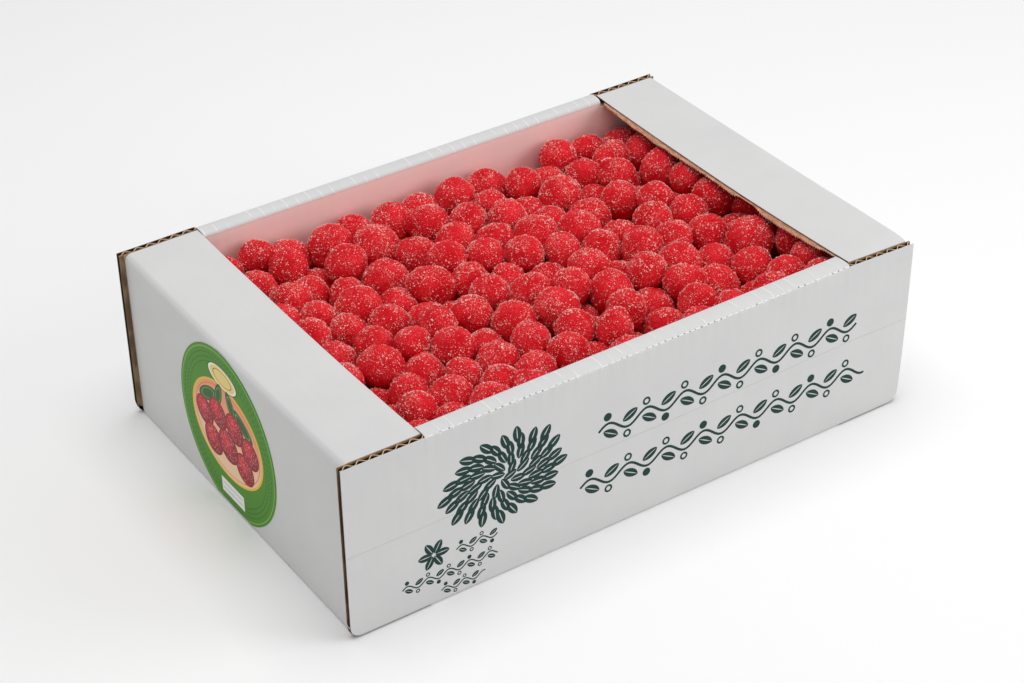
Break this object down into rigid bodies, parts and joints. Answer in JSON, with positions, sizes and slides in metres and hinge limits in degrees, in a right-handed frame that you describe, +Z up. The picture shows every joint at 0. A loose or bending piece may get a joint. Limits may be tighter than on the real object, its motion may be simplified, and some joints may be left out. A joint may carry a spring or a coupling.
{
  "type": "tray of sugared sweets",
  "caption": "Open white corrugated tray with double side walls, flat end flaps and a round label, filled with round red sugared sweets.",
  "frame": {"origin": "on the ground under the middle of the tray", "axes": "+X along the long walls, away from the labelled end; +Y from the printed long wall to the back one; +Z up"},
  "size_m": [0.38, 0.252, 0.111],
  "materials": {
    "board": "matte",
    "label": "satin",
    "sweets": "matte"
  },
  "bodies": {
    "root": {"tray": "board", "label": "label", "sweets": "sweets"}
  },
  "joints": []
}
